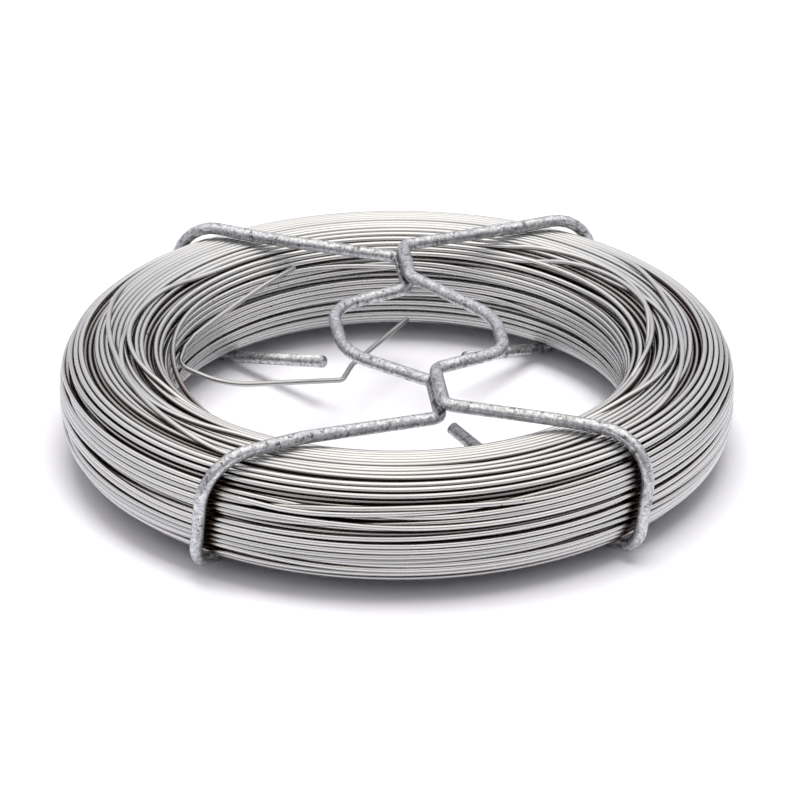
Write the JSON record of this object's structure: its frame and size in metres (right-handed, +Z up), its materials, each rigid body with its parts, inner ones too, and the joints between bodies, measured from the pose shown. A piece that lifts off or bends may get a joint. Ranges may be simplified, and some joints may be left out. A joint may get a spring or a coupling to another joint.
{
  "type": "coil of stainless steel wire",
  "caption": "Flat coil of thin bright stainless wire held in a cage of bent galvanised rods that are welded one over the other and bow apart into a hanging eye",
  "frame": {"origin": "on the floor under the middle of the coil, which is the middle of the bounding box's bottom", "axes": "+Z is up, along the coil's axis; +Y runs along the length of the hanging eye, towards the back; +X is to the right, seen from the front"},
  "size_m": [0.1246, 0.1246, 0.026],
  "materials": {
    "stainless_wire": "bright drawn stainless wire, smooth, with a few rust specks",
    "galvanised_rod": "hot-dip galvanised, dull mottled grey with small pits"
  },
  "bodies": {
    "root": {"wire_coil": "stainless_wire", "cage_rod_lower": "galvanised_rod", "cage_rod_upper": "galvanised_rod"}
  },
  "joints": []
}
